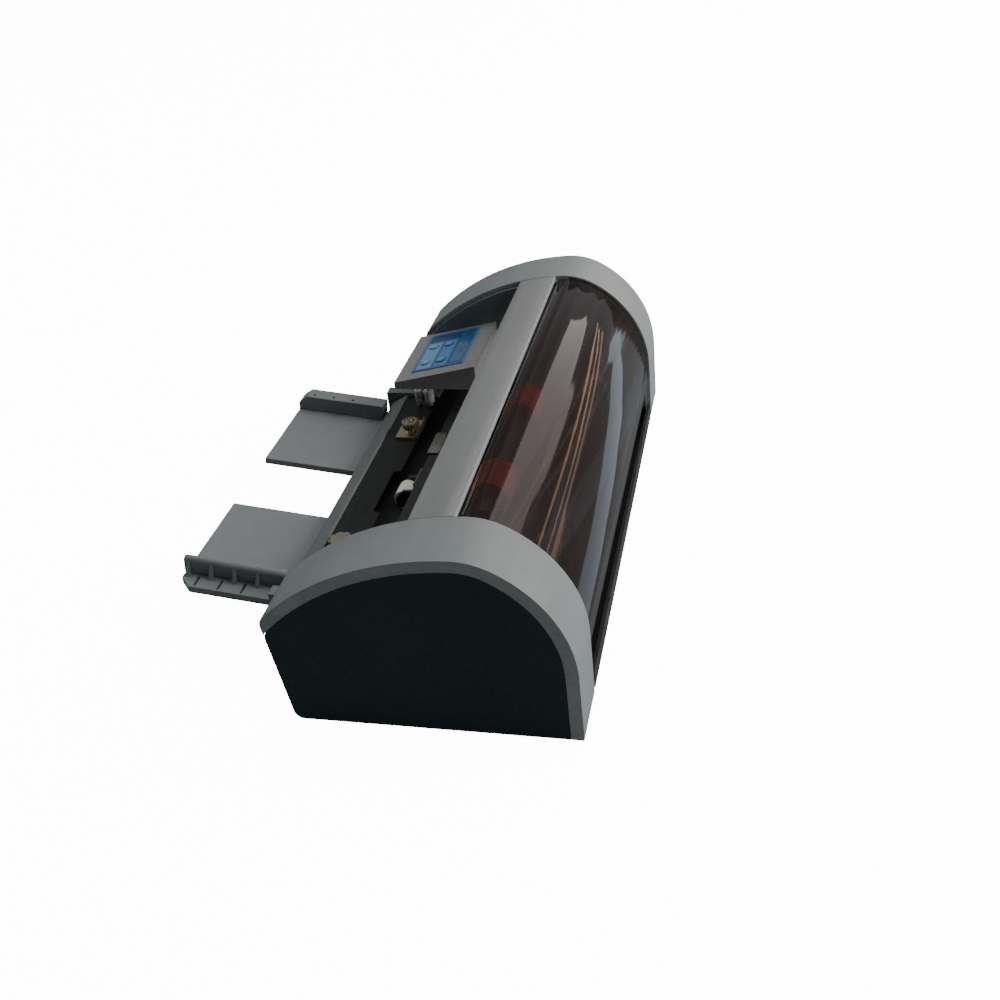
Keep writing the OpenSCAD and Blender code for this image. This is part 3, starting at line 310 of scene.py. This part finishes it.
# ---------------------------------------------------------------- rounded edges
def round_edges(name, width, segments=2, angle=32):
    """Bevels the CAD node's sharp edges without touching its mesh."""
    o = nodes[name]
    weld = o.modifiers.new("weld", "WELD")
    weld.merge_threshold = 2e-6
    bev = o.modifiers.new("round", "BEVEL")
    bev.width = width * MM
    bev.segments = segments
    bev.limit_method = "ANGLE"
    bev.angle_limit = RAD(angle)
    bev.use_clamp_overlap = True
    bev.harden_normals = True


ROUNDED = {  # width in mm
    2.6: "left_end_cap right_end_cap",
    0.6: "top_crossbar panel_housing left_sheet_guide right_sheet_guide",
    0.5: "front_lip deck_end_blocks base_tray plate_knob pinch_bar",
    0.35: "brass_thumbscrew brass_clamp stop_clip idler_bracket idler_roller guide_plate",
    0.3: "left_side_panel right_side_panel deck_plate crossbar_trim smoked_cover "
         "upper_feed_rollers lower_feed_rollers knife_beam knife_bed power_switch",
    0.2: "up_key down_key start_key stop_key drive_motor knife_motor power_supply "
         "rubber_feet inlet_and_switch_frame",
}
for width, names in ROUNDED.items():
    for name in names.split():
        round_edges(name, width, 4 if width > 1 else 2)
# Its tint already darkens what lies under it, so the cover casts no shadow.
nodes["smoked_cover"].visible_shadow = False


# ---------------------------------------------------------------- mesh tools
def piece(name, mesh, mat, body, smooth=True):
    """A new object in the row frame that rides on a body."""
    o = bpy.data.objects.new(name, mesh)
    bpy.context.scene.collection.objects.link(o)
    mesh.materials.append(mat)
    if smooth:
        mesh.polygons.foreach_set("use_smooth", [True] * len(mesh.polygons))
        mesh.set_sharp_from_angle(angle=RAD(35))
    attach(o, body)
    return o


def mesh_from(name, build):
    """A mesh with outward normals from a function that fills a bmesh."""
    bm = bmesh.new()
    build(bm)
    bmesh.ops.recalc_face_normals(bm, faces=bm.faces)
    mesh = bpy.data.meshes.new(name)
    bm.to_mesh(mesh)
    bm.free()
    return mesh


def lathe(bm, profile, origin, axis="Z", steps=40):
    """Turns a profile of (radius, height) in mm about an axis through origin."""
    rings = []
    turn = {"Z": Matrix.Identity(4), "X": Matrix.Rotation(RAD(90), 4, "Y")}[axis]
    place = Matrix.Translation(Vector(origin) * MM) @ turn
    for r, h in profile:
        count = 1 if r == 0 else steps
        turns = [2 * math.pi * i / count for i in range(count)]
        rings.append([bm.verts.new(place @ (Vector((r * math.cos(a), r * math.sin(a), h)) * MM))
                      for a in turns])
    for a, b in zip(rings, rings[1:]):
        n = max(len(a), len(b))
        for i in range(n):
            j = (i + 1) % n
            quad = [a[i % len(a)], a[j % len(a)], b[j % len(b)], b[i % len(b)]]
            face = list(dict.fromkeys(quad))
            if len(face) > 2:
                bm.faces.new(face)


def box(bm, low, high, place=None, bevel=0.0):
    """A box between two corners in mm, with rounded edges, in an optional frame."""
    made = bmesh.ops.create_cube(bm, size=1.0)["verts"]
    size = [(h - l) * MM for l, h in zip(low, high)]
    mid = [(h + l) / 2 * MM for l, h in zip(low, high)]
    m = Matrix.Translation(mid) @ Matrix.Diagonal((*size, 1))
    if place is not None:
        m = place @ m
    for v in made:
        v.co = m @ v.co
    if bevel:
        edges = list({e for v in made for e in v.link_edges})
        bmesh.ops.bevel(bm, geom=edges, offset=bevel * MM, segments=2, profile=0.6,
                        affect="EDGES")


# ---------------------------------------------------------------- knife springs
def helix(bm, x, y, z0, z1, radius, wire, turns):
    """A round wire wound about an upright axis between two heights, in mm."""
    steps = int(turns * 20)
    rings = []
    for i in range(steps + 1):
        t = i / steps
        a = 2 * math.pi * turns * t
        out = Vector((math.cos(a), math.sin(a), 0))
        centre = Vector((x, y, z0 + wire + (z1 - z0 - 2 * wire) * t)) + radius * out
        rings.append([bm.verts.new((centre + wire * (math.cos(b) * out
                                                     + math.sin(b) * Vector((0, 0, 1)))) * MM)
                      for b in (2 * math.pi * k / 8 for k in range(8))])
    for p, q in zip(rings, rings[1:]):
        for k in range(8):
            bm.faces.new([p[k], p[(k + 1) % 8], q[(k + 1) % 8], q[k]])
    bm.faces.new(rings[0])
    bm.faces.new(reversed(rings[-1]))


SPRING_LOW, SPRING_HIGH, POST_Y, POST_X = 26.4, 36.0, 103.95, 140.0
SPRING_R, WIRE_R, TURNS = 4.0, 0.42, 5
for side, x in (("left", -POST_X), ("right", POST_X)):
    coil = mesh_from(f"{side}_knife_spring", lambda bm, x=x: helix(
        bm, x, POST_Y, SPRING_LOW, SPRING_HIGH, SPRING_R, WIRE_R, TURNS))
    o = piece(f"{side}_knife_spring", coil, NICKEL_AND_PAINTED_HIGHLIGHT, "frame")
    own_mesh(o)
    if side == "left":
        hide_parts("knife_springs")

# ---------------------------------------------------------------- key panel
PANEL = Matrix.Translation(Vector(PANEL_AT) * MM) @ Matrix.Rotation(RAD(PANEL_TILT), 4, "X")
INK_T = 0.04


def prism(bm, points, z, thick, place=PANEL):
    """A flat solid of a few corners, in mm, standing on height z of a face."""
    low = [bm.verts.new(place @ (Vector((x, y, z)) * MM)) for x, y in points]
    high = [bm.verts.new(place @ (Vector((x, y, z + thick)) * MM)) for x, y in points]
    bm.faces.new(low)
    bm.faces.new(high)
    for i in range(len(points)):
        j = (i + 1) % len(points)
        bm.faces.new([low[i], low[j], high[j], high[i]])


def key_centre(col, row):
    """A key's middle on the panel's face, in mm."""
    return OX + KEY_COL[col] * OW, OY + KEY_ROW[row] * OL


KEYS = {"up_key": (0, 1), "down_key": (0, 0), "start_key": (1, 1), "stop_key": (1, 0)}
ICONS = {
    "up_key": [(-1.9, -1.2), (1.9, -1.2), (0, 1.9)],
    "down_key": [(-1.9, 1.2), (0, -1.9), (1.9, 1.2)],
    "start_key": [(-1.2, -1.9), (1.9, 0), (-1.2, 1.9)],
    "stop_key": [(-1.5, -1.5), (1.5, -1.5), (1.5, 1.5), (-1.5, 1.5)],
}
for key, (col, row) in KEYS.items():
    kx, ky = key_centre(col, row)
    outline = [(kx + x, ky + y) for x, y in ICONS[key]]
    icon = mesh_from(f"{key}_icon", lambda bm, o=outline: prism(bm, o, KEY_TOP, INK_T))
    piece(f"{key}_icon", icon, WHITE_INK, key, smooth=False)


def digits(bm, text, x, y, height):
    """Seven-bar digits, as a display shows them, standing on the window."""
    bars = {"a": (0, 2, 1), "b": (1, 1.5, 0), "c": (1, 0.5, 0), "d": (0, 0, 1), "e": (-1, 0.5, 0),
            "f": (-1, 1.5, 0), "g": (0, 1, 1)}
    shown = {"0": "abcdef", "4": "bcfg", "5": "acdfg", "9": "abcdfg"}
    step, half, thick = height / 2, height * 0.27, height * 0.06
    for i, letter in enumerate(text):
        mid = x + i * height * 0.85
        for bar in shown[letter]:
            side, level, flat = bars[bar]
            cx, cy = mid + side * half, y + level * step
            w, h = (half - thick * 1.4, thick) if flat else (thick, step / 2 - thick * 1.4)
            prism(bm, [(cx - w, cy - h), (cx + w, cy - h), (cx + w, cy + h), (cx - w, cy + h)],
                  PRINT_TOP, INK_T)


for name, text, at in (("card_width_digits", "90", 14.0), ("card_height_digits", "54", 40.0)):
    shown = mesh_from(name, lambda bm, t=text, x=at: digits(bm, t, x, OY + 32.0, 5.6))
    piece(name, shown, DARK_INK, "frame", smooth=False)


# ---------------------------------------------------------------- screw recess shade
PLATE_SCREWS = [((-112.0, -38.25, 50.0), 1.7), ((-112.0, -29.25, 50.0), 2.4)]  # top, size
TRAY_SCREWS = [(x, y, 2.8) for x in (-149.0, 149.0) for y in (-19.25, 78.75, 126.25)]
TRAY_RECESS, SHADE_BAR_HALF = 1.7, 0.12


def cross(bm, at, size):
    """A crosshead recess's painted shade: two thin black bars on a screw head, not a hole."""
    for w, h in ((size, size * 0.22), (size * 0.22, size)):
        half = (w, h, SHADE_BAR_HALF)
        box(bm, [a - d for a, d in zip(at, half)], [a + d for a, d in zip(at, half)])


def recess_shade(bm):
    """Painted shade of the recesses of the two plate screws and the six under the tray."""
    for at, size in PLATE_SCREWS:
        cross(bm, at, size * 0.6)
    for at in TRAY_SCREWS:
        cross(bm, at, TRAY_RECESS)


# Black bars, a painted shade that stands for the dark inside of each crosshead recess.
piece("screw_recess_shade", mesh_from("screw_recess_shade", recess_shade), CHIP, "frame",
      smooth=False)


# ---------------------------------------------------------------- grips
CLAMP_SCREW, PLATE_SCREW = (-66.0, -31.25), (76.0, -40.25)


def dished_top(bm, at, z, r):
    """The turned face of a screw head: a raised rim, a dish and a centre dimple."""
    lathe(bm, [(0.0, z + 0.05), (r * 0.14, z + 0.05), (r * 0.20, z + 0.30), (r * 0.30, z + 0.32),
               (r * 0.55, z + 0.12), (r * 0.72, z + 0.16), (r * 0.80, z + 0.42),
               (r * 0.88, z + 0.42), (r * 0.93, z + 0.02), (0.0, z + 0.02)],
          (*at, 0.0), steps=56)


for name, at, z, r, mat, slot, body in (
        ("thumbscrew_face", CLAMP_SCREW, 48.9, 6.5, BRASS, "brass", "clamp_screw"),
        ("knob_face", PLATE_SCREW, 42.1, 8.0, BEIGE, "beige_plastic", "plate_screw")):
    face = mesh_from(name, lambda bm, a=at, h=z, s=r: dished_top(bm, a, h, s * 0.92))
    piece(name, face, mat, body)


# ---------------------------------------------------------------- circuit boards
KEY_BOARD_LOW = -6.6
CHIP_LEGS, LEG_PITCH = 9, 2.0
SIDE_BOARD_X, SIDE_BOARD_Y, SIDE_BOARD_Z = -166.0, 18.75, 63.0  # outer face and lower front corner


def capacitor(bm, at, r, h):
    """A can along X with a groove near the end that stands at a point."""
    lathe(bm, [(0, 0), (r * 0.9, 0), (r, h * 0.06), (r, h * 0.10), (r * 0.93, h * 0.13),
               (r, h * 0.17), (r, h * 0.95), (r * 0.9, h), (0, h)], at, "X", 28)


def key_board_parts(bm):
    """Chip, its legs and a pin row under the key board, hanging from its lower side."""
    z = KEY_BOARD_LOW
    box(bm, (26, 26, z - 2.0), (44, 34, z), PANEL, 0.2)
    for i in range(CHIP_LEGS):
        x = 27 + i * LEG_PITCH
        for v in (24.4, 34.4):
            box(bm, (x, v, z - 0.9), (x + 0.7, v + 1.2, z), PANEL)
    box(bm, (48, 22, z - 4.0), (66, 27, z), PANEL, 0.3)
    for x in (12, 17):
        box(bm, (x, 40, z - 1.2), (x + 3.2, 42, z), PANEL, 0.15)


def side_board_chips(bm):
    """Chips and a terminal block on the outer side of the left board."""
    x, y0, z0 = SIDE_BOARD_X, SIDE_BOARD_Y, SIDE_BOARD_Z
    box(bm, (x - 2.4, y0 + 12, z0 + 12), (x, y0 + 30, z0 + 20), None, 0.25)
    box(bm, (x - 1.6, y0 + 34, z0 + 22), (x, y0 + 42, z0 + 30), None, 0.2)
    for i in range(CHIP_LEGS):
        y = y0 + 12.6 + i * LEG_PITCH
        for z in (z0 + 10.8, z0 + 20.0):
            box(bm, (x - 1.0, y, z), (x, y + 0.7, z + 1.2), None)
    box(bm, (x - 7.0, y0 + 8, z0 + 28), (x, y0 + 26, z0 + 35), None, 0.4)


def side_board_metal(bm):
    """Capacitor cans, terminal screws and crystal on the left board."""
    x, y0, z0 = SIDE_BOARD_X, SIDE_BOARD_Y, SIDE_BOARD_Z
    for y, z, r, h in ((y0 + 44, z0 + 10, 3.4, 8.0), (y0 + 36, z0 + 9, 2.6, 6.5)):
        capacitor(bm, (x - h, y, z), r, h)
    for i in range(4):
        lathe(bm, [(0, 0), (1.4, 0), (1.4, 0.5), (0, 0.5)],
              (x - 7.4, y0 + 10.2 + i * 4.5, z0 + 31.5), "X", 20)
    box(bm, (x - 3.0, y0 + 34, z0 + 15), (x, y0 + 44, z0 + 18), None, 0.6)


piece("key_board_parts", mesh_from("key_board_parts", key_board_parts), CHIP,
      "frame", smooth=False)
piece("side_board_chips", mesh_from("side_board_chips", side_board_chips), CHIP,
      "frame", smooth=False)
piece("side_board_metal", mesh_from("side_board_metal", side_board_metal), CAN, "frame")


# ---------------------------------------------------------------- motor and switch
MOTOR_FACE, MOTOR_AT, MOTOR_HOLES = 123.0, (76.75, 84.0), (-13, 13)


def motor_screws(bm):
    """Four screws in the drive motor's inner end."""
    y, z = MOTOR_AT
    for dy in MOTOR_HOLES:
        for dz in MOTOR_HOLES:
            lathe(bm, [(0, -1.4), (1.2, -1.4), (2.1, -0.9), (2.1, 0), (0, 0)],
                  (MOTOR_FACE, y + dy, z + dz), "X", 24)


def motor_boss(bm):
    """The stepped ring round the shaft in the same end."""
    y, z = MOTOR_AT
    lathe(bm, [(3.4, 0), (3.4, -1.6), (5.6, -1.6), (5.9, -1.3), (5.9, -0.6), (11.6, -0.6),
               (12.0, -0.2), (12.0, 0), (3.4, 0)], (MOTOR_FACE, y, z), "X", 48)


piece("motor_screws", mesh_from("motor_screws", motor_screws), NICKEL_AND_PAINTED_HIGHLIGHT, "frame")
piece("motor_boss", mesh_from("motor_boss", motor_boss), ZINC, "frame")

# The rocker's pivot, its tilt at rest, its face before the pivot, and each half's fall.
ROCKER_AT, ROCKER_TILT, ROCKER_OUT, ROCKER_FALL = (-195.0, 66.75, 21.0), 12, 3, 5


def rocker_face(side):
    """The upper (1) or lower (-1) half of the rocker's face: x level, y towards its end."""
    slope = Vector((-1, 0, ROCKER_FALL * side)).normalized()
    out = Vector((-ROCKER_FALL, 0, -side)).normalized()
    level = slope.cross(out)
    turn = Matrix((level, slope, out)).transposed().to_4x4()
    return (Matrix.Translation(Vector(ROCKER_AT) * MM)
            @ Matrix.Rotation(RAD(ROCKER_TILT), 4, "Y")
            @ Matrix.Translation(Vector((-ROCKER_OUT, 0, 0)) * MM) @ turn)


def switch_marks(bm):
    """A line for on and a ring for off."""
    on, off = rocker_face(1), rocker_face(-1)
    prism(bm, [(-1.4, 2.2), (1.4, 2.2), (1.4, 2.8), (-1.4, 2.8)], 0, INK_T, on)
    steps = 24
    for i in range(steps):
        a, b = (2 * math.pi * k / steps for k in (i, i + 1))
        prism(bm, [(r * math.cos(t), 2.6 + r * math.sin(t))
                   for r, t in ((1.0, a), (1.5, a), (1.5, b), (1.0, b))], 0, INK_T, off)


piece("switch_marks", mesh_from("switch_marks", switch_marks), WHITE, "rocker",
      smooth=False)

# ---------------------------------------------------------------- camera and light
CAM_AT = Vector((0.6469, 0.23505, 0.4698))
CAM_EL, CAM_AZ, CAM_ROLL = RAD(33.472), RAD(15.989), RAD(7.138)
FOCAL_PX, FRAME_PX, SENSOR = 1151.08, 1000, 36.0


def camera():
    """The camera that the photo's straight and parallel edges give."""
    back = Vector((math.cos(CAM_EL) * math.cos(CAM_AZ), math.cos(CAM_EL) * math.sin(CAM_AZ),
                   math.sin(CAM_EL)))
    right0 = Vector((-math.sin(CAM_AZ), math.cos(CAM_AZ), 0))
    up0 = back.cross(right0)
    right = math.cos(CAM_ROLL) * right0 - math.sin(CAM_ROLL) * up0
    up = math.sin(CAM_ROLL) * right0 + math.cos(CAM_ROLL) * up0
    data = bpy.data.cameras.new("camera")
    data.sensor_width = SENSOR
    data.lens = FOCAL_PX / FRAME_PX * SENSOR
    data.clip_start, data.clip_end = 0.01, 30
    cam = bpy.data.objects.new("camera", data)
    bpy.context.scene.collection.objects.link(cam)
    cam.matrix_world = Matrix((
        (right.x, up.x, back.x, CAM_AT.x),
        (right.y, up.y, back.y, CAM_AT.y),
        (right.z, up.z, back.z, CAM_AT.z),
        (0, 0, 0, 1)))
    bpy.context.scene.camera = cam


def area_light(name, at, target, size, size_y, power, color=(1, 1, 1), mirrored=True):
    """A lit rectangle that the camera doesn't see, turned towards a target."""
    data = bpy.data.lights.new(name, "AREA")
    data.shape = "RECTANGLE"
    data.size, data.size_y = size, size_y
    data.energy = power
    data.color = color
    o = bpy.data.objects.new(name, data)
    bpy.context.scene.collection.objects.link(o)
    o.location = at
    o.rotation_mode = "QUATERNION"
    o.rotation_quaternion = (Vector(target) - Vector(at)).to_track_quat("-Z", "Y")
    o.visible_camera = False
    o.visible_glossy = mirrored


camera()
area_light("key", (-0.1, 2.05, 1.0), (0, 0.10, 0.05), 1.6, 0.9, 52, (0.94, 0.99, 1.0), False)
area_light("fill", (-0.7, -1.5, 1.2), (0, 0.0, 0.05), 1.2, 1.2, 8, (0.90, 0.96, 1.0))
area_light("top", (-0.4, 0.1, 2.0), (0, 0.05, 0), 1.0, 1.0, 9, mirrored=False)

# Long strips beside and below the object that the curved cover reflects as streaks.
STRIPS = [  # y, z, width along the arc, power, colour
    (0.48, 0.72, 0.50, 9.5, (1.0, 0.88, 0.86)),
    (0.80, 0.40, 0.05, 1.5, (1.0, 0.60, 0.40)),
    (0.85, 0.29, 0.03, 1.0, (1.0, 0.58, 0.38)),
    (0.90, 0.17, 0.05, 0.9, (1.0, 0.62, 0.45)),
    (0.75, -0.45, 0.40, 3.4, (0.74, 0.87, 1.0)),
]
STRIP_X, STRIP_L = -1.65, 3.3
for i, (y, z, wide, power, color) in enumerate(STRIPS):
    area_light(f"strip_{i}", (STRIP_X, y, z), (STRIP_X, 0.10, 0.09), STRIP_L, wide, power, color)


def surroundings():
    """A cool room that is lighter beyond the object's left end than at its right."""
    world = bpy.data.worlds.new("world")
    world.use_nodes = True
    nt = world.node_tree
    back = nt.nodes["Background"]
    back.inputs[0].default_value = (0.86, 0.94, 1.0, 1)
    split = nt.nodes.new("ShaderNodeSeparateXYZ")
    nt.links.new(nt.nodes.new("ShaderNodeTexCoord").outputs["Generated"], split.inputs[0])
    fade = nt.nodes.new("ShaderNodeMapRange")
    fade.inputs["From Min"].default_value = -1.0
    fade.inputs["To Min"].default_value = 0.26
    fade.inputs["To Max"].default_value = 0.07
    nt.links.new(split.outputs[0], fade.inputs["Value"])
    nt.links.new(fade.outputs[0], back.inputs[1])
    bpy.context.scene.world = world


surroundings()

FLOOR_HALF, FLOOR_GLOW, GLOW_THROUGH = 12.0, 14.0, 0.7


def floor():
    """A pale floor that glows to the camera, and less where the cover lies between."""
    mesh = bpy.data.meshes.new("floor")
    s = FLOOR_HALF
    mesh.from_pydata([(-s, -s, 0), (s, -s, 0), (s, s, 0), (-s, s, 0)], [], [(0, 1, 2, 3)])
    o = bpy.data.objects.new("floor", mesh)
    bpy.context.scene.collection.objects.link(o)
    mat = surface("pale_floor", (0.60, 0.60, 0.60), 0.75, grain=40, bump=0.0, vary=0.005,
                  blotch=0.5, specular=0.2)
    nt = mat.node_tree
    bsdf = nt.nodes["Principled BSDF"]
    seen = nt.nodes.new("ShaderNodeLightPath")
    through = nt.nodes.new("ShaderNodeMapRange")
    through.inputs["To Min"].default_value = FLOOR_GLOW
    through.inputs["To Max"].default_value = GLOW_THROUGH
    nt.links.new(seen.outputs["Transparent Depth"], through.inputs["Value"])
    glow = nt.nodes.new("ShaderNodeMath")
    glow.operation = "MULTIPLY"
    nt.links.new(seen.outputs["Is Camera Ray"], glow.inputs[0])
    nt.links.new(through.outputs[0], glow.inputs[1])
    nt.links.new(glow.outputs[0], bsdf.inputs["Emission Strength"])
    bsdf.inputs["Emission Color"].default_value = (1, 1, 1, 1)
    mesh.materials.append(mat)
    o.visible_glossy = False


floor()
